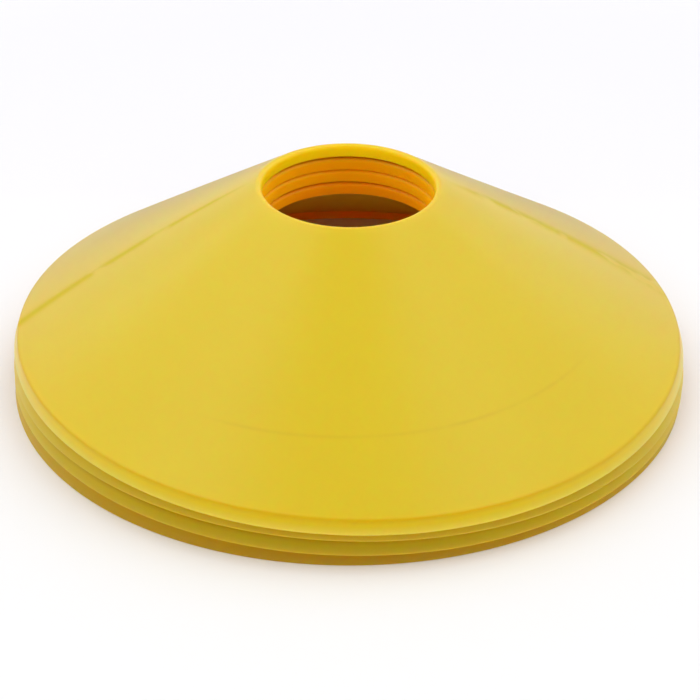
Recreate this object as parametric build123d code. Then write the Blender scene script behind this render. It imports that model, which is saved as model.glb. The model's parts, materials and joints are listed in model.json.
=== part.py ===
from build123d import *
import os
from math import asin, atan2, cos, hypot, radians, tan

# A stack of four loose disc marker cones, nested one on another on a common upright axis.
# Millimetres, +Z up. The origin is the centre of the circle on which the bottom cone stands.

# Driving dimensions of one moulding
foot_diameter = 200.0       # across the foot, the lower edge of the skirt
cone_height = 50.0          # from the floor to the top of the lip, for one cone
hole_diameter = 50.0        # clear width of the hole and of the collar below its lip
wall = 1.1                  # moulded wall, the same from foot to collar
skirt_height = 4.0          # from the floor to the crease where the sloping face begins
skirt_draft = 18.0          # degrees by which the skirt leans in from upright
collar_depth = 3.5          # from the top of the lip to the lower edge of the collar
crease_inner_round = 0.3    # inside radius of the crease between skirt and face
lip_inner_round = 0.2       # inside radius of the lip, where the face turns down into the hole
cut_edge_round = 0.3        # radius on the edges of the foot and the collar

# Clearances between one cone and the next
seat_clearance = 0.15       # radial, between a foot's inner edge and the face that it sits on
face_clearance = 0.3        # square to the walls, between two sloping faces
collar_clearance = 0.3      # upright, between a collar and the lip below it

# The stack, from the floor upwards
stack_order = ["bottom_cone", "second_cone", "third_cone", "top_cone"]

# Sizes that follow from the driving dimensions
foot_radius = foot_diameter / 2
hole_radius = hole_diameter / 2
collar_bottom = cone_height - collar_depth
crease_round = crease_inner_round + wall
lip_round = lip_inner_round + wall
edge_round = min(cut_edge_round, 0.4 * wall)
draft_run = tan(radians(skirt_draft))
crease_radius = foot_radius - skirt_height * draft_run
foot_inner_radius = foot_radius - wall / cos(radians(skirt_draft))

# The sloping face is the straight line from the crease that just touches the lip's circle
lip_run = crease_radius - hole_radius - lip_round
lip_rise = cone_height - skirt_height - lip_round
face_slope = atan2(lip_rise, lip_run) + asin(lip_round / hypot(lip_run, lip_rise))


def outer_height(radius):
    """Height of the outer surface above a cone's own foot at a radius, with its corners sharp."""
    if radius < crease_radius:
        return skirt_height + (crease_radius - radius) * tan(face_slope)
    return (foot_radius - radius) / draft_run


# One cone stands above the next by whichever of foot, face and collar meets the lower cone first
foot_pitch = outer_height(foot_inner_radius - seat_clearance)
face_pitch = (wall + face_clearance) / cos(face_slope)
collar_pitch = collar_depth + collar_clearance
nest_pitch = max(foot_pitch, face_pitch, collar_pitch)


def wall_section():
    """Section of the moulded wall on one side of the axis: skirt, sloping face, lip and collar."""
    below_floor = wall
    outer_line = FilletPolyline(
        (foot_radius + below_floor * draft_run, -below_floor),
        (crease_radius, skirt_height),
        (hole_radius, outer_height(hole_radius)),
        (hole_radius, collar_bottom),
        radius=[crease_round, lip_round],
    )
    band = make_face(offset(outer_line, wall, side=Side.LEFT))
    floor_cut = Pos(foot_radius, 0) * Rectangle(foot_radius, 4 * wall, align=(Align.CENTER, Align.MAX))
    section = band - floor_cut
    foot_corners = section.vertices().sort_by(Axis.Y)[:2]
    bore_side = section.vertices().filter_by_position(Axis.X, 0, hole_radius + 1.2 * wall)
    collar_corners = bore_side.sort_by(Axis.Y)[:2]
    return fillet(foot_corners + collar_corners, edge_round)


def marker_cone():
    """One disc cone with its foot on the floor."""
    upright_section = Plane.XZ * wall_section()
    return revolve(upright_section, Axis.Z)


def main():
    """Write each cone of the stack at its nested height."""
    os.makedirs("parts", exist_ok=True)
    moulding = marker_cone()
    for level, name in enumerate(stack_order):
        cone = Pos(0, 0, level * nest_pitch) * moulding
        cone.label = name
        export_step(cone, f"parts/{name}.step")
    stack_height = cone_height + nest_pitch * (len(stack_order) - 1)
    print(f"nest pitch {nest_pitch:.3f} mm, stack height {stack_height:.3f} mm")
    print(f"one moulding {moulding.volume:.0f} mm3")


main()
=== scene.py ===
"""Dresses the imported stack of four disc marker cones: shells, yellow plastic, studio and camera."""

import json
import logging
import math
from dataclasses import dataclass, field, replace
from enum import Enum
from typing import Any, Dict, List, Tuple

import bpy
from mathutils import Matrix, Vector


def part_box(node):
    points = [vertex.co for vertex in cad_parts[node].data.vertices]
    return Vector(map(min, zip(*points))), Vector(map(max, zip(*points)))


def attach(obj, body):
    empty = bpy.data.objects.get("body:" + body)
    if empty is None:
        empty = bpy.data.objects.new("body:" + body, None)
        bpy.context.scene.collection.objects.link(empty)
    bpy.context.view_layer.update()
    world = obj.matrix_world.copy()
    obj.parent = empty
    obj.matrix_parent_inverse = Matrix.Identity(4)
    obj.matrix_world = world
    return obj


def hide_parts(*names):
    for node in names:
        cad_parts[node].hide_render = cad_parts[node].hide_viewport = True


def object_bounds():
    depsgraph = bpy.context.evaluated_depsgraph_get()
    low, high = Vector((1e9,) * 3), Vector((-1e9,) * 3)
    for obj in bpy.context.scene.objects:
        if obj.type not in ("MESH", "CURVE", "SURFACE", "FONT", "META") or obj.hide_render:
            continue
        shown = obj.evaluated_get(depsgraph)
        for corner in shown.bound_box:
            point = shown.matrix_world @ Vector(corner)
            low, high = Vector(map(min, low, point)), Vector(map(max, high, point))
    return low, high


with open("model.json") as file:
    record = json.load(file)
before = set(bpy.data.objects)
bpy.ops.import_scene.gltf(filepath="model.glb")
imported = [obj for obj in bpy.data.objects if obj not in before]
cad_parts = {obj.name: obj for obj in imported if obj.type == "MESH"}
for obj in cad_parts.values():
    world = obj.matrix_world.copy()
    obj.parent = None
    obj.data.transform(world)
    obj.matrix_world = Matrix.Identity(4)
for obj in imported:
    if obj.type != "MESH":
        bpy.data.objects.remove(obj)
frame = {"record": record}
cad_low, cad_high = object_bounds()

log = logging.getLogger("marker_cones")

MILLIMETRE = 0.001
LEVEL_NAME = "level_above_foot"
ROUND_NAME = "corner_round"

Colour = Tuple[float, float, float]
Span = Tuple[float, float]

WHITE: Colour = (1.0, 1.0, 1.0)
BLACK: Colour = (0.0, 0.0, 0.0)


class Layer(Enum):
    """The cones of the stack from the floor upwards, named as the CAD nodes and bodies are."""

    BOTTOM = "bottom_cone"
    SECOND = "second_cone"
    THIRD = "third_cone"
    TOP = "top_cone"


class Bench:
    """Adds nodes to one node tree and wires them, so that a recipe reads from top to bottom."""

    def __init__(self, tree: bpy.types.NodeTree) -> None:
        """Keep the tree that the nodes go into."""
        self.tree = tree

    def add(self, kind: str, settings: Dict[str, Any] | None = None, **inputs: Any) -> bpy.types.Node:
        """Add a node, set its properties, and feed its inputs.

        Args:
            kind: Blender's type name of the node.
            settings: properties of the node, set before its inputs are fed.
            **inputs: an input's name in lower case with _ for spaces, and a socket or a constant.

        Returns:
            The new node.
        """
        node = self.tree.nodes.new(kind)
        for name, value in (settings or {}).items():
            setattr(node, name, value)
        for name, value in inputs.items():
            self.feed(self.find_input(node, name), value)
        return node

    def find_input(self, node: bpy.types.Node, name: str) -> bpy.types.NodeSocket:
        """Find an enabled input by its name.

        Args:
            node: the node to search.
            name: the input's name in lower case, with _ for spaces.

        Returns:
            The first enabled input of that name.
        """
        for socket in node.inputs:
            if socket.enabled and socket.name.lower().replace(" ", "_") == name:
                return socket
        raise KeyError(f"{node.bl_idname} has no input {name}")

    def feed(self, socket: bpy.types.NodeSocket, value: Any) -> None:
        """Link a socket to an input, or set the input's constant.

        Args:
            socket: the input.
            value: an output socket, or a plain value.
        """
        if isinstance(value, bpy.types.NodeSocket):
            self.tree.links.new(value, socket)
        else:
            socket.default_value = value

    def math(self, operation: str, *values: Any) -> bpy.types.NodeSocket:
        """Add a Math node.

        Args:
            operation: Blender's name of the operation.
            *values: sockets or numbers, in the order of the node's inputs.

        Returns:
            The node's value.
        """
        node = self.add("ShaderNodeMath", {"operation": operation})
        for socket, value in zip(node.inputs, values):
            self.feed(socket, value)
        return node.outputs[0]

    def mix(self, share: Any, first: Any, second: Any) -> bpy.types.NodeSocket:
        """Mix two colours.

        Args:
            share: share of the second colour, 0 to 1.
            first: a colour or a colour socket.
            second: a colour or a colour socket.

        Returns:
            The mixed colour.
        """
        one, two = (
            colour if isinstance(colour, bpy.types.NodeSocket) else (*colour, 1.0)
            for colour in (first, second)
        )
        node = self.add("ShaderNodeMix", {"data_type": "RGBA"}, factor=share, a=one, b=two)
        return next(socket for socket in node.outputs if socket.enabled)

    def combine(self, x: Any, y: Any, z: Any) -> bpy.types.NodeSocket:
        """Make a vector from three sockets or numbers."""
        return self.add("ShaderNodeCombineXYZ", x=x, y=y, z=z).outputs[0]

    def separate(self, vector: bpy.types.NodeSocket) -> List[bpy.types.NodeSocket]:
        """Split a vector into its three numbers."""
        return list(self.add("ShaderNodeSeparateXYZ", vector=vector).outputs)

    def axis_distance(self, x: bpy.types.NodeSocket, y: bpy.types.NodeSocket) -> bpy.types.NodeSocket:
        """Find how far a point is from the upright axis."""
        squares = self.math("ADD", self.math("MULTIPLY", x, x), self.math("MULTIPLY", y, y))
        return self.math("SQRT", squares)

    def toward(
        self, x: bpy.types.NodeSocket, y: bpy.types.NodeSocket, bearing: float
    ) -> bpy.types.NodeSocket:
        """Find how far a point lies along a bearing, given in degrees from +X."""
        turn = math.radians(bearing)
        return self.math("MULTIPLY_ADD", x, math.cos(turn), self.math("MULTIPLY", y, math.sin(turn)))

    def bell(self, offset: bpy.types.NodeSocket, width: Any) -> bpy.types.NodeSocket:
        """Make a soft line that is 1 on its middle and fades away within about its width."""
        share = self.math("DIVIDE", offset, width)
        return self.math("EXPONENT", self.math("MULTIPLY", self.math("MULTIPLY", share, share), -1.0))

    def ramp(
        self, value: bpy.types.NodeSocket, places: Span, levels: Span, course: str = "LINEAR"
    ) -> bpy.types.NodeSocket:
        """Lead a value from one level to another between two places, and hold it outside them.

        Args:
            value: the place.
            places: where the change begins and ends.
            levels: the level before the change and after it.
            course: Blender's name for the way of the change.

        Returns:
            The level at the place.
        """
        return self.add(
            "ShaderNodeMapRange",
            {"interpolation_type": course},
            value=value,
            from_min=places[0],
            from_max=places[1],
            to_min=levels[0],
            to_max=levels[1],
        ).outputs[0]


@dataclass(frozen=True)
class Fold:
    """A crease left by an old fold of the soft disc, which runs from the hole to the rim.

    At the pivot its painted shade line lies offset to the left of the bearing, seen from the hole, and goes
    on with the slope and the curve given. Its width is line_spread times the distance from the hole's axis.
    """

    bearing: float
    ridge_height: float
    offset: float
    slope: float
    curve: float
    line_spread: float
    pivot: float = 70.0 * MILLIMETRE


@dataclass(frozen=True)
class MouldedPlastic:
    """Soft yellow polyethylene: satin, a little translucent, with flow marks and light scuffs.

    Lengths are in metres, bearings in degrees from +X, and scales of noise per metre, but
    flow_turn_scale per radian. light_reach says how far red, green and blue light soak in, as shares of
    light_reach_scale. Most pairs say where a change begins and ends, with the scuff's arc measured by
    the cosine of the turn from its bearing. The shares in pairs are the least and the most, and the
    skew is along X and Y.
    """

    name: str
    seed: float
    # Painted shade: dims the whole colour of a cone that stands in shade.
    painted_shade_tone: float = 1.0
    body_colour: Colour = (0.985, 0.620, 0.0060)
    deep_colour: Colour = (0.970, 0.575, 0.0045)
    roughness: float = 0.40
    roughness_swing: float = 0.10
    ior: float = 1.51
    inner_shine: float = 0.1
    gloss: float = 0.25
    gloss_ior: float = 1.5
    gloss_roughness: float = 0.30
    light_reach: Colour = (1.00, 0.45, 0.02)
    light_reach_scale: float = 2.5 * MILLIMETRE
    cloud_scale: float = 26.0
    flow_turn_scale: float = 9.0
    flow_run_scale: float = 14.0
    flow_share: float = 0.6
    grain_scale: float = 850.0
    grain_strength: float = 0.35
    grain_height: float = 0.04 * MILLIMETRE
    # Painted shade: the skirt is darkened just under the crease, where shade falls.
    crease_shade_colour: Colour = (0.830, 0.480, 0.0020)
    crease_shade_share: float = 0.8
    crease_shade_rise: Span = (2.6 * MILLIMETRE, 3.9 * MILLIMETRE)
    crease_shade_fall: Span = (4.0 * MILLIMETRE, 4.5 * MILLIMETRE)
    # Paler foot: partly wear, partly a painted sheen.
    foot_wear_and_sheen_colour: Colour = (0.950, 0.720, 0.1000)
    foot_wear_and_sheen_share: float = 0.2
    foot_wear_and_sheen_reach: Span = (0.2 * MILLIMETRE, 2.4 * MILLIMETRE)
    scuff_colour: Colour = (0.840, 0.480, 0.0050)
    scuff_bearing: float = -75.0
    scuff_arc: Span = (0.68, 0.86)
    scuff_radius: float = 78.5 * MILLIMETRE
    scuff_width: float = 0.45 * MILLIMETRE
    scuff_skew: Span = (0.020, 0.012)
    scuff_break_scale: float = 45.0
    scuff_breaks: Span = (0.35, 0.70)
    scuff_shares: Span = (0.10, 0.45)
    folds: Tuple[Fold, ...] = ()
    # Painted shade along the folds: its colour, the breaks along the line and their shares.
    fold_shade_colour: Colour = (0.770, 0.535, 0.0025)
    fold_start: Span = (28.0 * MILLIMETRE, 40.0 * MILLIMETRE)
    fold_reach: float = 8.0 * MILLIMETRE
    fold_shade_break_scale: float = 90.0
    fold_shade_breaks: Span = (0.38, 0.48)
    fold_shade_shares: Span = (0.15, 1.0)

    def make(self) -> bpy.types.Material:
        """Build the finish as a node material.

        Returns:
            The material.
        """
        material = bpy.data.materials.new(self.name)
        material.use_nodes = True
        material.diffuse_color = (*self.body_colour, 1.0)
        material.node_tree.nodes.clear()
        bench = Bench(material.node_tree)
        place = bench.add("ShaderNodeTexCoord").outputs["Object"]
        x, y, _ = bench.separate(place)
        radius = bench.axis_distance(x, y)
        clouds = self.clouds(bench, place)
        flow = self.flow_marks(bench, x, y, radius)
        # Both colours are dimmed by the cone's painted shade.
        colour = bench.mix(clouds, self.shade_dimmed(self.body_colour), self.shade_dimmed(self.deep_colour))
        colour = bench.mix(self.turning_scuffs(bench, x, y, radius), colour, self.scuff_colour)
        # Painted shade under the crease, and a paler foot that is partly wear and partly painted sheen.
        colour = self.painted_skirt_shade_and_sheen(bench, colour)
        relief = self.grain(bench, place, flow)
        uneven = bench.math("MULTIPLY", bench.math("ADD", flow, clouds), 0.5)
        gloss: Any = self.gloss
        if self.folds:
            line, ridge = self.fold_ridges_and_shade(bench, x, y)
            # Painted shade: a darker, less glossy line along each fold.
            colour = bench.mix(line, colour, self.fold_shade_colour)
            gloss = bench.math("MULTIPLY_ADD", line, -self.gloss, self.gloss)
            creased = bench.add("ShaderNodeBump", strength=1.0, distance=1.0, height=ridge, normal=relief)
            relief = creased.outputs[0]
        shader = bench.add(
            "ShaderNodeBsdfPrincipled",
            base_color=colour,
            roughness=bench.math("MULTIPLY_ADD", uneven, self.roughness_swing, self.roughness),
            normal=relief,
            coat_normal=relief,
            ior=self.ior,
            specular_ior_level=self.inner_shine,
            coat_weight=gloss,
            coat_roughness=self.gloss_roughness,
            coat_ior=self.gloss_ior,
            subsurface_weight=1.0,
            subsurface_radius=self.light_reach,
            subsurface_scale=self.light_reach_scale,
        )
        bench.add("ShaderNodeOutputMaterial", surface=shader.outputs[0])
        return material

    def shade_dimmed(self, colour: Colour) -> Colour:
        """Dim a colour by the painted shade of a cone that stands in shade."""
        red, green, blue = colour
        return self.painted_shade_tone * red, self.painted_shade_tone * green, self.painted_shade_tone * blue

    def clouds(self, bench: Bench, place: bpy.types.NodeSocket) -> bpy.types.NodeSocket:
        """Soft patches a few centimetres wide, where the pigment lies a little deeper.

        Args:
            bench: the material's bench.
            place: Object coordinates.

        Returns:
            Share of the deeper colour.
        """
        return bench.add(
            "ShaderNodeTexNoise",
            {"noise_dimensions": "4D"},
            vector=place,
            w=self.seed,
            scale=self.cloud_scale,
            detail=3.0,
        ).outputs[0]

    def flow_marks(
        self, bench: Bench, x: bpy.types.NodeSocket, y: bpy.types.NodeSocket, radius: bpy.types.NodeSocket
    ) -> bpy.types.NodeSocket:
        """Faint streaks that run down the slope from the hole, as the melt flowed.

        Args:
            bench: the material's bench.
            x: Object coordinate.
            y: Object coordinate.
            radius: distance from the axis.

        Returns:
            Height of the streaks, 0 to 1.
        """
        across = bench.math("MULTIPLY", bench.math("DIVIDE", x, radius), self.flow_turn_scale)
        along = bench.math("MULTIPLY", bench.math("DIVIDE", y, radius), self.flow_turn_scale)
        outward = bench.math("MULTIPLY_ADD", radius, self.flow_run_scale, self.seed)
        streaks = bench.combine(across, along, outward)
        return bench.add(
            "ShaderNodeTexNoise", vector=streaks, scale=1.0, detail=4.0, roughness=0.55
        ).outputs[0]

    def grain(
        self, bench: Bench, place: bpy.types.NodeSocket, flow: bpy.types.NodeSocket
    ) -> bpy.types.NodeSocket:
        """Roughen the skin by the streaks and by a fine grain.

        Args:
            bench: the material's bench.
            place: Object coordinates.
            flow: height of the streaks.

        Returns:
            The bumped normal.
        """
        fine = bench.add("ShaderNodeTexNoise", vector=place, scale=self.grain_scale, detail=2.0).outputs[0]
        fine = bench.math("MULTIPLY", fine, 1.0 - self.flow_share)
        height = bench.math("MULTIPLY_ADD", flow, self.flow_share, fine)
        return bench.add(
            "ShaderNodeBump", strength=self.grain_strength, distance=self.grain_height, height=height
        ).outputs[0]

    def painted_skirt_shade_and_sheen(self, bench: Bench, colour: bpy.types.NodeSocket) -> bpy.types.NodeSocket:
        """Paint shade under the crease, and make the colour paler towards the foot, partly as wear and
        partly as a painted sheen.

        Args:
            bench: the material's bench.
            colour: colour of the plain wall.

        Returns:
            The colour with the skirt's tones.
        """
        level = bench.add("ShaderNodeAttribute", {"attribute_name": LEVEL_NAME}).outputs["Fac"]
        # Painted shade: darken the skirt under the crease.
        under = bench.ramp(level, self.crease_shade_rise, (0.0, self.crease_shade_share))
        above = bench.ramp(level, self.crease_shade_fall, (1.0, 0.0))
        colour = bench.mix(bench.math("MULTIPLY", under, above), colour, self.crease_shade_colour)
        # Partly wear, partly painted sheen: paler towards the foot.
        wear_and_sheen = bench.ramp(level, self.foot_wear_and_sheen_reach, (self.foot_wear_and_sheen_share, 0.0))
        return bench.mix(wear_and_sheen, colour, self.foot_wear_and_sheen_colour)

    def fold_ridges_and_shade(
        self, bench: Bench, x: bpy.types.NodeSocket, y: bpy.types.NodeSocket
    ) -> Tuple[bpy.types.NodeSocket, bpy.types.NodeSocket]:
        """Painted shade lines from the hole to the rim, along low ridges where the soft disc has once been
        folded.

        Args:
            bench: the material's bench.
            x: Object coordinate.
            y: Object coordinate.

        Returns:
            Share of the painted fold shade, and the height of the soft ridge along each fold in metres.
        """
        line, ridge = 0.0, 0.0
        for fold in self.folds:
            along = bench.toward(x, y, fold.bearing)
            lead = bench.math("SUBTRACT", along, fold.pivot)
            sway = bench.math("MULTIPLY_ADD", lead, fold.curve, fold.slope)
            middle = bench.math("MULTIPLY_ADD", sway, lead, fold.offset)
            across = bench.math("SUBTRACT", bench.toward(x, y, fold.bearing + 90.0), middle)
            here = bench.ramp(along, self.fold_start, (0.0, 1.0))
            away = bench.math("DIVIDE", bench.math("ABSOLUTE", across), self.fold_reach)
            soft = bench.math("MULTIPLY", bench.math("EXPONENT", bench.math("MULTIPLY", away, -1.0)), here)
            fine = bench.bell(across, bench.math("MULTIPLY", along, fold.line_spread))
            ridge = bench.math("MULTIPLY_ADD", soft, fold.ridge_height, ridge)
            line = bench.math("MULTIPLY_ADD", fine, here, line)
        # Noise breaks up the painted shade line.
        spots = bench.combine(x, y, self.seed)
        shade_breaks = bench.add("ShaderNodeTexNoise", vector=spots, scale=self.fold_shade_break_scale).outputs[0]
        shown = bench.ramp(shade_breaks, self.fold_shade_breaks, self.fold_shade_shares)
        return bench.math("MULTIPLY", line, shown), ridge

    def turning_scuffs(
        self, bench: Bench, x: bpy.types.NodeSocket, y: bpy.types.NodeSocket, radius: bpy.types.NodeSocket
    ) -> bpy.types.NodeSocket:
        """A thin broken arc low on the face, where a cone nested on top has rubbed.

        Args:
            bench: the material's bench.
            x: Object coordinate.
            y: Object coordinate.
            radius: distance from the axis.

        Returns:
            Share of the scuff colour.
        """
        skew_x, skew_y = self.scuff_skew
        skew = bench.math("MULTIPLY_ADD", x, skew_x, bench.math("MULTIPLY", y, skew_y))
        off_line = bench.math("SUBTRACT", bench.math("ADD", radius, skew), self.scuff_radius)
        ring = bench.bell(off_line, self.scuff_width)
        spots = bench.combine(x, y, self.seed)
        breaks = bench.add(
            "ShaderNodeTexNoise", vector=spots, scale=self.scuff_break_scale, detail=3.0
        ).outputs[0]
        broken = bench.ramp(breaks, self.scuff_breaks, self.scuff_shares)
        ahead = bench.math("DIVIDE", bench.toward(x, y, self.scuff_bearing), radius)
        arc = bench.ramp(ahead, self.scuff_arc, (0.0, 1.0))
        return bench.math("MULTIPLY", bench.math("MULTIPLY", ring, broken), arc)


@dataclass(frozen=True)
class Settling:
    """How a soft loose cone has settled, measured at its rim in millimetres, with bearings in degrees.

    The rim dips by tilt on the side of tilt_bearing, stands level higher all round, and bends up by
    saddle on the two opposite sides that saddle_bearing names.
    """

    tilt: float = 0.0
    tilt_bearing: float = 0.0
    level: float = 0.0
    saddle: float = 0.0
    saddle_bearing: float = 0.0

    def parts(self) -> Vector:
        """Split the settling into parts that can be added from cone to cone.

        Returns:
            Tilt along X and Y, level, and the saddle's straight and diagonal parts, in metres.
        """
        tilt_bearing = math.radians(self.tilt_bearing)
        saddle_bearing = math.radians(2 * self.saddle_bearing)
        parts = (
            -self.tilt * math.cos(tilt_bearing),
            -self.tilt * math.sin(tilt_bearing),
            self.level,
            self.saddle * math.cos(saddle_bearing),
            self.saddle * math.sin(saddle_bearing),
        )
        return Vector(parts) * MILLIMETRE


@dataclass
class MarkerCone:
    """One disc cone as a closed shell: its wall section is turned round the axis and warped a little.

    The sizes are the CAD's, but the collar is 0.2 mm deeper: the photo shows hardly any gap between
    one collar and the lip below it.
    """

    layer: Layer
    settled: Vector
    ripple_height: float = 0.1 * MILLIMETRE
    seed: int = 1
    wall: float = 1.1 * MILLIMETRE
    skirt_height: float = 4.0 * MILLIMETRE
    skirt_draft: float = math.radians(18.0)
    collar_depth: float = 3.7 * MILLIMETRE
    crease_round: float = 1.4 * MILLIMETRE
    lip_round: float = 1.3 * MILLIMETRE
    edge_round: float = 0.3 * MILLIMETRE
    foot_diameter: float = 200.0 * MILLIMETRE
    steps_round: int = 288
    run_step: float = 2.5 * MILLIMETRE
    shell: bpy.types.Object = field(init=False)

    def hole_radius(self) -> float:
        """Radius of the hole, from the record's mount."""
        mounts = {mount["name"]: mount for mount in frame["record"]["mounts"]}
        return mounts["hole"]["dims"]["r_mm"] * MILLIMETRE

    def section_corners(self) -> List[Tuple[float, float, float]]:
        """Corners of the wall section, from the foot's outer edge up the outside and back inside.

        Returns:
            Radius, height and corner round of each corner.
        """
        low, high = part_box(self.layer.value)
        foot, height = low[2], high[2] - low[2]
        foot_radius = self.foot_diameter / 2
        hole = self.hole_radius()
        lean = math.tan(self.skirt_draft)
        crease = foot_radius - self.skirt_height * lean
        run = crease - hole - self.lip_round
        rise = height - self.skirt_height - self.lip_round
        slope = math.tan(math.atan2(rise, run) + math.asin(self.lip_round / math.hypot(run, rise)))
        drop = self.wall * math.hypot(1.0, slope)
        skirt_inset = self.wall / math.cos(self.skirt_draft)
        collar_foot = height - self.collar_depth
        lip = self.skirt_height + (crease - hole) * slope
        inner_lip = self.skirt_height + (crease - hole - self.wall) * slope - drop
        inner_crease = self.skirt_height + (crease - foot_radius + skirt_inset) * slope - drop
        inner_crease = inner_crease / (1.0 - lean * slope)
        corners = [
            (foot_radius, 0.0, self.edge_round),
            (crease, self.skirt_height, self.crease_round),
            (hole, lip, self.lip_round),
            (hole, collar_foot, self.edge_round),
            (hole + self.wall, collar_foot, self.edge_round),
            (hole + self.wall, inner_lip, self.lip_round - self.wall),
            (foot_radius - skirt_inset - inner_crease * lean, inner_crease, self.crease_round - self.wall),
            (foot_radius - skirt_inset, 0.0, self.edge_round),
        ]
        return [(radius, foot + level, rounding) for radius, level, rounding in corners]

    def draw_section(self) -> bpy.types.Object:
        """Draw the wall section as a closed outline of edges, each corner with its round.

        Returns:
            The outline's object.
        """
        corners = self.section_corners()
        outline = bpy.data.meshes.new(f"{self.layer.value}_section")
        points = [(radius, 0.0, level) for radius, level, _ in corners]
        edges = [(index, (index + 1) % len(points)) for index in range(len(points))]
        outline.from_pydata(points, edges, [])
        rounds = outline.attributes.new(ROUND_NAME, "FLOAT", "POINT")
        for entry, corner in zip(rounds.data, corners):
            entry.value = corner[2]
        host = bpy.data.objects.new(f"{self.layer.value}_host", outline)
        bpy.context.scene.collection.objects.link(host)
        return host

    def build(self, tree: bpy.types.NodeTree, finish: bpy.types.Material) -> None:
        """Turn the section into the shell by the node tree and keep the result as a plain mesh.

        Args:
            tree: the tree that makes a cone from its section.
            finish: the material of this cone.
        """
        host = self.draw_section()
        modifier = host.modifiers.new("turned_cone", "NODES")
        modifier.node_group = tree
        settings = {
            "Steps Round": self.steps_round,
            "Run Step": self.run_step,
            "Hole Radius": self.hole_radius(),
            "Foot Radius": self.foot_diameter / 2,
            "Foot Level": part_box(self.layer.value)[0][2],
            "Skirt Lean": math.tan(self.skirt_draft),
            "Tilt Along X": self.settled[0],
            "Tilt Along Y": self.settled[1],
            "Rim Level": self.settled[2],
            "Straight Saddle": self.settled[3],
            "Diagonal Saddle": self.settled[4],
            "Ripple Height": self.ripple_height,
            "Seed": self.seed,
            "Finish": finish,
        }
        sockets = {item.name: item for item in tree.interface.items_tree if item.in_out == "INPUT"}
        for name, value in settings.items():
            modifier[sockets[name].identifier] = value
        depsgraph = bpy.context.evaluated_depsgraph_get()
        mesh = bpy.data.meshes.new_from_object(host.evaluated_get(depsgraph))
        outline = host.data
        bpy.data.objects.remove(host)
        bpy.data.meshes.remove(outline)
        mesh.name = f"{self.layer.value}_shell"
        self.shell = bpy.data.objects.new(f"{self.layer.value}_shell", mesh)
        bpy.context.scene.collection.objects.link(self.shell)

    def dress(self) -> None:
        """Tie the shell to its body and hide the CAD node that it stands in for."""
        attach(self.shell, self.layer.value)
        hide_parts(self.layer.value)
        log.info("%s: %d faces", self.shell.name, len(self.shell.data.polygons))


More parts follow.
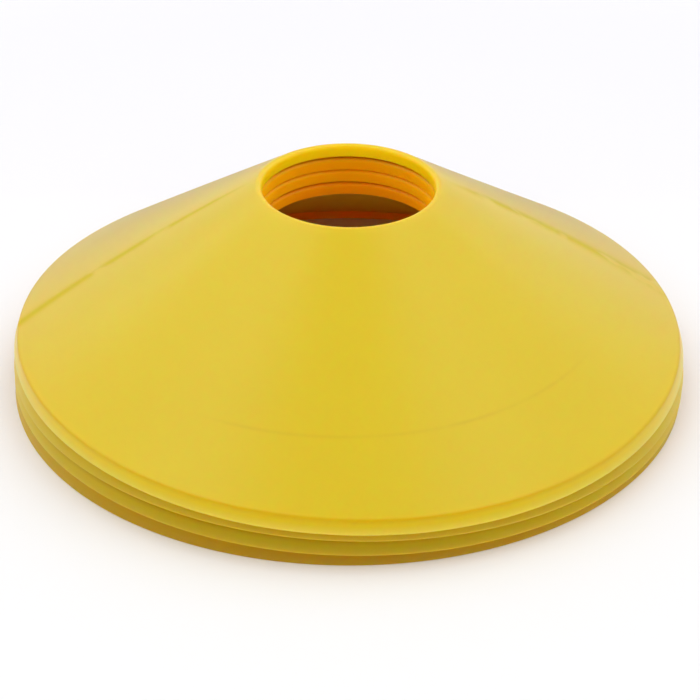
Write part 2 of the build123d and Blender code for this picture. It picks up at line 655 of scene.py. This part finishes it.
class ConeTree:
    """The node tree that turns a wall section round the axis and warps the soft rim."""

    CORNER_STEPS = 6  # points on each rounded corner
    SOFTENING = 2.0  # power by which the bend grows from the hole to the rim
    RIPPLE_SCALE = 18.0  # ripples in a metre
    INPUTS: Tuple[Tuple[str, str], ...] = (
        ("Geometry", "NodeSocketGeometry"),
        ("Steps Round", "NodeSocketInt"),
        ("Run Step", "NodeSocketFloat"),
        ("Hole Radius", "NodeSocketFloat"),
        ("Foot Radius", "NodeSocketFloat"),
        ("Foot Level", "NodeSocketFloat"),
        ("Skirt Lean", "NodeSocketFloat"),
        ("Tilt Along X", "NodeSocketFloat"),
        ("Tilt Along Y", "NodeSocketFloat"),
        ("Rim Level", "NodeSocketFloat"),
        ("Straight Saddle", "NodeSocketFloat"),
        ("Diagonal Saddle", "NodeSocketFloat"),
        ("Ripple Height", "NodeSocketFloat"),
        ("Seed", "NodeSocketInt"),
        ("Finish", "NodeSocketMaterial"),
    )

    def __init__(self) -> None:
        """Make the tree with its named inputs."""
        self.tree = bpy.data.node_groups.new("turned_cone", "GeometryNodeTree")
        for name, kind in self.INPUTS:
            self.tree.interface.new_socket(name=name, in_out="INPUT", socket_type=kind)
        self.tree.interface.new_socket(name="Geometry", in_out="OUTPUT", socket_type="NodeSocketGeometry")
        self.bench = Bench(self.tree)
        self.given = self.bench.add("NodeGroupInput").outputs

    def build(self) -> bpy.types.NodeTree:
        """Wire the tree: section, turning, warp and finish.

        Returns:
            The finished tree.
        """
        bench = self.bench
        turned = self.turn(self.section())
        warped = bench.add("GeometryNodeSetPosition", geometry=turned, offset=self.warp())
        smooth = bench.add("GeometryNodeSetShadeSmooth", geometry=warped.outputs[0])
        real = bench.add("GeometryNodeRealizeInstances", geometry=smooth.outputs[0])
        finished = bench.add(
            "GeometryNodeSetMaterial", geometry=real.outputs[0], material=self.given["Finish"]
        )
        bench.add("NodeGroupOutput", geometry=finished.outputs[0])
        return self.tree

    def section(self) -> bpy.types.NodeSocket:
        """Round the section's corners, divide its long runs and store each point's level.

        Returns:
            The section as a closed curve, its radius measured from the rail.
        """
        bench = self.bench
        curve = bench.add("GeometryNodeMeshToCurve", mesh=self.given["Geometry"]).outputs[0]
        rounding = bench.add("GeometryNodeInputNamedAttribute", {"data_type": "FLOAT"}, name=ROUND_NAME)
        rounded = bench.add(
            "GeometryNodeFilletCurve",
            {"mode": "POLY"},
            curve=curve,
            count=self.CORNER_STEPS,
            radius=rounding.outputs[0],
        ).outputs[0]
        here = bench.add("GeometryNodeInputPosition").outputs[0]
        following = bench.add("GeometryNodeOffsetPointInCurve", offset=1).outputs["Point Index"]
        there = bench.add(
            "GeometryNodeFieldAtIndex", {"data_type": "FLOAT_VECTOR"}, index=following, value=here
        ).outputs[0]
        gap = bench.add("ShaderNodeVectorMath", {"operation": "DISTANCE"})
        bench.feed(gap.inputs[0], here)
        bench.feed(gap.inputs[1], there)
        share = bench.math("DIVIDE", gap.outputs["Value"], self.given["Run Step"])
        cuts = bench.add("FunctionNodeFloatToInt", {"rounding_mode": "FLOOR"}, float=share).outputs[0]
        divided = bench.add("GeometryNodeSubdivideCurve", curve=rounded, cuts=cuts).outputs[0]
        x, _, z = bench.separate(here)
        marked = bench.add(
            "GeometryNodeStoreNamedAttribute",
            {"data_type": "FLOAT", "domain": "POINT"},
            geometry=divided,
            name=LEVEL_NAME,
            value=bench.math("SUBTRACT", z, self.given["Foot Level"]),
        ).outputs[0]
        from_rail = bench.math("SUBTRACT", x, self.given["Foot Radius"])
        downward = bench.math("MULTIPLY", z, -1.0)
        placed = bench.add(
            "GeometryNodeSetPosition", geometry=marked, position=bench.combine(from_rail, downward, 0.0)
        )
        return placed.outputs[0]

    def turn(self, section: bpy.types.NodeSocket) -> bpy.types.NodeSocket:
        """Sweep the section round a circle as wide as the foot.

        Args:
            section: the closed section curve.

        Returns:
            The shell as a mesh.
        """
        rail = self.bench.add(
            "GeometryNodeCurvePrimitiveCircle",
            resolution=self.given["Steps Round"],
            radius=self.given["Foot Radius"],
        ).outputs[0]
        swept = self.bench.add("GeometryNodeCurveToMesh", curve=rail, profile_curve=section).outputs[0]
        outward = self.bench.add("GeometryNodeFlipFaces", mesh=swept).outputs[0]
        bare = self.bench.add("GeometryNodeRemoveAttribute", geometry=outward, name=ROUND_NAME)
        return bare.outputs[0]

    def warp(self) -> bpy.types.NodeSocket:
        """Tilt the cone, bend its soft rim and ripple it a little.

        A rim that sinks also spreads by the skirt's lean, so it slides down the skirt below it and
        the gap between the two skirts stays the same all round.

        Returns:
            How far each point moves.
        """
        bench = self.bench
        given = self.given
        here = bench.add("GeometryNodeInputPosition").outputs[0]
        x, y, _ = bench.separate(here)
        radius = bench.axis_distance(x, y)
        span = bench.math("SUBTRACT", given["Foot Radius"], given["Hole Radius"])
        outward = bench.math("DIVIDE", bench.math("SUBTRACT", radius, given["Hole Radius"]), span)
        softness = bench.math("POWER", bench.math("MAXIMUM", outward, 0.0), self.SOFTENING)
        along_y = bench.math("MULTIPLY", y, given["Tilt Along Y"])
        tilt = bench.math("MULTIPLY_ADD", x, given["Tilt Along X"], along_y)
        tilt = bench.math("DIVIDE", tilt, given["Foot Radius"])
        twice_bearing = bench.math("MULTIPLY", bench.math("ARCTAN2", y, x), 2.0)
        straight = bench.math("MULTIPLY", bench.math("COSINE", twice_bearing), given["Straight Saddle"])
        diagonal = bench.math("MULTIPLY", bench.math("SINE", twice_bearing), given["Diagonal Saddle"])
        noise = bench.add(
            "ShaderNodeTexNoise",
            {"noise_dimensions": "4D"},
            vector=here,
            w=given["Seed"],
            scale=self.RIPPLE_SCALE,
            detail=1.0,
        ).outputs[0]
        ripple = bench.math("MULTIPLY_ADD", noise, given["Ripple Height"], given["Rim Level"])
        bend = bench.math("ADD", bench.math("ADD", straight, diagonal), ripple)
        rise = bench.math("MULTIPLY_ADD", bend, softness, tilt)
        spread = bench.math("MULTIPLY", bench.math("MULTIPLY", rise, softness), given["Skirt Lean"])
        spread = bench.math("DIVIDE", bench.math("MULTIPLY", spread, -1.0), radius)
        return bench.combine(bench.math("MULTIPLY", x, spread), bench.math("MULTIPLY", y, spread), rise)


@dataclass
class Stack:
    """The four loose cones, each settled on the one below it as the photo's rims show.

    The top cone is shinier and paler at its foot, partly by wear and partly by a painted sheen, and has been
    folded. The bottom one is dimmed by painted shade and lets less light through. Each scuff is turned on
    from that of the cone above it.
    """

    settlings: Tuple[Settling, ...] = (
        Settling(),
        Settling(tilt=0.96, tilt_bearing=-56, level=0.03, saddle=0.53, saddle_bearing=50),
        Settling(tilt=0.28, tilt_bearing=16, level=0.20, saddle=0.32, saddle_bearing=64),
        Settling(tilt=0.93, tilt_bearing=-91, level=0.41, saddle=1.16, saddle_bearing=2),
    )
    top_folds: Tuple[Fold, ...] = (
        Fold(
            bearing=178.5,
            ridge_height=0.12 * MILLIMETRE,
            offset=-0.41 * MILLIMETRE,
            slope=0.197,
            curve=3.69,
            line_spread=0.028,
        ),
        Fold(
            bearing=13.0,
            ridge_height=0.30 * MILLIMETRE,
            offset=2.73 * MILLIMETRE,
            slope=-0.095,
            curve=-4.75,
            line_spread=0.050,
        ),
    )
    top_gloss: float = 0.62
    # The top cone's foot is paler still: partly wear, partly painted sheen.
    top_wear_and_sheen_share: float = 0.5
    # Painted shade: the bottom cone stands in shade, so its colour is dimmed.
    bottom_painted_shade: float = 0.80
    bottom_light_reach: float = 1.5 * MILLIMETRE
    scuff_turn: float = 80.0
    seed_step: float = 3.7
    cones: List[MarkerCone] = field(default_factory=list)

    def finish(self, layer: Layer, count: int) -> MouldedPlastic:
        """Choose the finish of one cone.

        Args:
            layer: the cone.
            count: its place in the stack, counted from 1 at the floor.

        Returns:
            The finish.
        """
        plain = MouldedPlastic(f"yellow_plastic_{layer.value}", seed=self.seed_step * count)
        plain = replace(plain, scuff_bearing=plain.scuff_bearing - self.scuff_turn * (len(Layer) - count))
        if layer is Layer.TOP:
            return replace(plain, gloss=self.top_gloss, foot_wear_and_sheen_share=self.top_wear_and_sheen_share, folds=self.top_folds)
        if layer is Layer.BOTTOM:
            # The bottom cone's colour is dimmed as painted shade.
            return replace(plain, painted_shade_tone=self.bottom_painted_shade, light_reach_scale=self.bottom_light_reach)
        return plain

    def build(self) -> None:
        """Build and dress the cones from the floor upwards, each with the settling of those below it."""
        tree = ConeTree().build()
        settled = Settling().parts()
        for count, (layer, settling) in enumerate(zip(Layer, self.settlings), start=1):
            settled = settled + settling.parts()
            cone = MarkerCone(layer=layer, settled=settled, seed=count)
            cone.build(tree, self.finish(layer, count).make())
            cone.dress()
            self.cones.append(cone)


class Reach(Enum):
    """Which pieces a lamp lights."""

    ALL = "everything"
    FLOOR = "the floor"
    TOP_AND_FLOOR = "the top cone and the floor"
    NESTED = "the cones nested below the top one"


@dataclass(frozen=True)
class Panel:
    """One soft panel of light: where it hangs, its width and height, and its power in watts."""

    name: str
    place: Tuple[float, float, float]
    size: Span
    power: float
    colour: Colour = WHITE
    mirrored: bool = True
    reach: Reach = Reach.ALL

    def hang(self) -> bpy.types.Object:
        """Hang the panel so that it faces the stack.

        Returns:
            The lamp.
        """
        lamp = bpy.data.lights.new(self.name, "AREA")
        lamp.shape = "RECTANGLE"
        lamp.size, lamp.size_y = self.size
        lamp.energy = self.power
        lamp.color = self.colour
        panel = bpy.data.objects.new(self.name, lamp)
        panel.location = self.place
        panel.rotation_euler = (-Vector(self.place)).to_track_quat("-Z", "Y").to_euler()
        panel.visible_camera = False
        panel.visible_glossy = self.mirrored
        bpy.context.scene.collection.objects.link(panel)
        return panel


@dataclass(frozen=True)
class Glow:
    """A weak warm lamp on the axis at the hole, for the light that soaks through the soft walls."""

    name: str
    rise: float
    power: float
    colour: Colour
    reach: Reach
    soft_radius: float = 2.0 * MILLIMETRE

    def hang(self) -> bpy.types.Object:
        """Hang the lamp on the axis, its rise measured from the top cone's lip.

        Returns:
            The lamp.
        """
        lamp = bpy.data.lights.new(self.name, "POINT")
        lamp.energy = self.power
        lamp.color = self.colour
        lamp.shadow_soft_size = self.soft_radius
        glow = bpy.data.objects.new(self.name, lamp)
        glow.location = (0.0, 0.0, cad_high[2] + self.rise)
        glow.visible_camera = False
        glow.visible_glossy = False
        bpy.context.scene.collection.objects.link(glow)
        return glow


@dataclass
class Studio:
    """A pale floor between two soft panels, under a roof, with a lilac wall behind and a front fill.

    The front fill reaches the top cone and the floor alone, because in the photo the lower rims and
    collars lie in deep orange shade. Far from the stack the floor glows a little and runs into a pale
    backdrop, so that a low view has no dark horizon.
    """

    cones: List[MarkerCone]
    floor_half_width: float = 6.0
    floor_colour: Colour = (0.90, 0.90, 0.89)
    air_strength: float = 0.10
    far_glow: float = 1.0
    far_glow_reach: Span = (0.25, 1.30)
    backdrop_height: float = 8.0
    backdrop_sides: int = 48
    card_reach: Span = (0.115, 0.90)
    card_half_width: float = 0.90
    card_level: float = 0.5 * MILLIMETRE
    card_colour: Colour = (0.38, 0.33, 0.85)
    sheet_roughness: float = 0.8
    light_bounces: int = 28
    matt_bounces: int = 24
    glows: Tuple[Glow, ...] = (
        Glow(
            "mouth_glow",
            rise=3.0 * MILLIMETRE,
            power=0.007,
            colour=(1.0, 0.95, 0.05),
            reach=Reach.TOP_AND_FLOOR,
        ),
        Glow(
            "hole_glow",
            rise=-5.0 * MILLIMETRE,
            power=0.011,
            colour=(1.0, 0.34, 0.01),
            reach=Reach.NESTED,
        ),
    )
    panels: Tuple[Panel, ...] = (
        Panel("left_panel", place=(-1.10, 0.30, 1.25), size=(2.0, 1.8), power=10.8),
        Panel("right_panel", place=(1.10, 0.30, 1.25), size=(2.0, 1.8), power=10.2),
        Panel("back_wall", place=(0.0, 1.80, 0.80), size=(3.6, 1.7), power=16.0, colour=(0.76, 0.71, 1.0)),
        Panel("roof", place=(0.0, 0.20, 1.60), size=(2.4, 2.0), power=9.5),
        Panel(
            "floor_wash",
            place=(0.0, 0.0, 1.60),
            size=(1.0, 1.0),
            power=4.0,
            mirrored=False,
            reach=Reach.FLOOR,
        ),
        Panel(
            "front_fill",
            place=(0.0, -1.31, 0.92),
            size=(2.0, 1.0),
            power=11.0,
            mirrored=False,
            reach=Reach.TOP_AND_FLOOR,
        ),
    )

    def build(self) -> None:
        """Lay the floor, hang the lamps and choose how the light is shown."""
        floor = self.lay_floor()
        self.lay_card()
        self.raise_backdrop()
        top = [cone.shell for cone in self.cones if cone.layer is Layer.TOP]
        nested = [cone.shell for cone in self.cones if cone.layer is not Layer.TOP]
        receivers = {
            Reach.ALL: [],
            Reach.FLOOR: [floor],
            Reach.TOP_AND_FLOOR: top + [floor],
            Reach.NESTED: nested,
        }
        for light in self.panels + self.glows:
            self.aim(light.hang(), receivers[light.reach])
        self.show_light()

    def show_light(self) -> None:
        """Fill the air with a weak even light, and choose plain tones and many bounces."""
        scene = bpy.context.scene
        scene.world = bpy.data.worlds.new("studio_air")
        scene.world.use_nodes = True
        background = scene.world.node_tree.nodes["Background"]
        background.inputs["Color"].default_value = (*WHITE, 1.0)
        background.inputs["Strength"].default_value = self.air_strength
        scene.view_settings.view_transform = "Standard"
        scene.view_settings.look = "None"
        scene.cycles.max_bounces = self.light_bounces
        scene.cycles.diffuse_bounces = self.matt_bounces

    def aim(self, lamp: bpy.types.Object, receivers: List[bpy.types.Object]) -> None:
        """Let a lamp light only some pieces.

        Args:
            lamp: the lamp.
            receivers: the pieces that it lights, or none for every piece.
        """
        if not receivers:
            return
        lit = bpy.data.collections.new(f"lit_by_{lamp.name}")
        for piece in receivers:
            lit.objects.link(piece)
        lamp.light_linking.receiver_collection = lit

    def lay_floor(self) -> bpy.types.Object:
        """Lay a wide matt floor at the height of the foot, which glows far from the stack.

        Returns:
            The floor.
        """
        half = self.floor_half_width
        corners = [(-half, -half, 0), (half, -half, 0), (half, half, 0), (-half, half, 0)]
        floor = self.sheet("floor", corners, [(0, 1, 2, 3)], self.floor_colour)
        tree = floor.data.materials[0].node_tree
        bench = Bench(tree)
        x, y, _ = bench.separate(bench.add("ShaderNodeTexCoord").outputs["Object"])
        away = bench.axis_distance(x, y)
        glow = bench.ramp(away, self.far_glow_reach, (0.0, self.far_glow), "SMOOTHSTEP")
        shader = tree.nodes["Principled BSDF"]
        bench.feed(shader.inputs["Emission Color"], (*WHITE, 1.0))
        bench.feed(shader.inputs["Emission Strength"], glow)
        return floor

    def raise_backdrop(self) -> None:
        """Raise a round pale wall at the end of the floor, which only the camera sees."""
        radius, count = self.floor_half_width, self.backdrop_sides
        bearings = [2 * math.pi * index / count for index in range(count)]
        ring = [(radius * math.cos(bearing), radius * math.sin(bearing)) for bearing in bearings]
        corners = [(x, y, 0.0) for x, y in ring] + [(x, y, self.backdrop_height) for x, y in ring]
        sides = [
            (index, count + index, count + (index + 1) % count, (index + 1) % count)
            for index in range(count)
        ]
        wall = self.sheet("backdrop", corners, sides, BLACK)
        shader = wall.data.materials[0].node_tree.nodes["Principled BSDF"]
        shader.inputs["Emission Color"].default_value = (*WHITE, 1.0)
        shader.inputs["Emission Strength"].default_value = self.far_glow
        wall.visible_diffuse = False
        wall.visible_glossy = False
        wall.visible_shadow = False

    def lay_card(self) -> None:
        """Lay a lilac card on the floor behind the stack, which only mirrored light shows."""
        near, far = self.card_reach
        side, level = self.card_half_width, self.card_level
        corners = [(-side, near, level), (side, near, level), (side, far, level), (-side, far, level)]
        card = self.sheet("lilac_card", corners, [(0, 1, 2, 3)], self.card_colour)
        card.visible_camera = False
        card.visible_diffuse = False
        card.visible_shadow = False

    def sheet(
        self,
        name: str,
        corners: List[Tuple[float, float, float]],
        faces: List[Tuple[int, ...]],
        colour: Colour,
    ) -> bpy.types.Object:
        """Add a matt sheet to the stage.

        Args:
            name: the sheet's name.
            corners: its corners.
            faces: the corners of each face, in order.
            colour: its colour.

        Returns:
            The sheet.
        """
        mesh = bpy.data.meshes.new(name)
        mesh.from_pydata(corners, [], faces)
        material = bpy.data.materials.new(f"{name}_finish")
        material.use_nodes = True
        material.cycles.emission_sampling = "NONE"
        shader = material.node_tree.nodes["Principled BSDF"]
        shader.inputs["Base Color"].default_value = (*colour, 1.0)
        shader.inputs["Roughness"].default_value = self.sheet_roughness
        mesh.materials.append(material)
        sheet = bpy.data.objects.new(name, mesh)
        bpy.context.scene.collection.objects.link(sheet)
        return sheet


@dataclass
class PhotoCamera:
    """The camera at the photograph's viewing angle, aimed at the middle of the floor circle.

    The focal length and the aimed point are in pixels of the photo, and the sensor in millimetres.
    """

    picture_width: float = 700.0
    focal_pixels: float = 2081.0
    aim_pixel: Span = (347.9, 368.1)
    elevation: float = math.radians(31.35)
    distance: float = 0.6314
    roll: float = math.radians(0.17)
    sensor_width: float = 36.0
    nearest: float = 0.01

    def build(self) -> None:
        """Place the camera and make it the scene's own."""
        data = bpy.data.cameras.new("photo_camera")
        data.sensor_width = self.sensor_width
        data.lens = self.sensor_width * self.focal_pixels / self.picture_width
        data.shift_x = 0.5 - self.aim_pixel[0] / self.picture_width
        data.shift_y = self.aim_pixel[1] / self.picture_width - 0.5
        data.clip_start = self.nearest
        camera = bpy.data.objects.new("photo_camera", data)
        place = Vector((0.0, -math.cos(self.elevation), math.sin(self.elevation))) * self.distance
        turn = (-place).to_track_quat("-Z", "Y").to_matrix() @ Matrix.Rotation(self.roll, 3, "Z")
        camera.location = place
        camera.rotation_euler = turn.to_euler()
        bpy.context.scene.collection.objects.link(camera)
        bpy.context.scene.camera = camera


def main() -> None:
    """Build the stack from the floor upwards, then the studio and the camera."""
    logging.basicConfig(level=logging.INFO, format="%(name)s %(message)s")
    stack = Stack()
    stack.build()
    Studio(stack.cones).build()
    PhotoCamera().build()


if __name__ == "__main__":
    main()
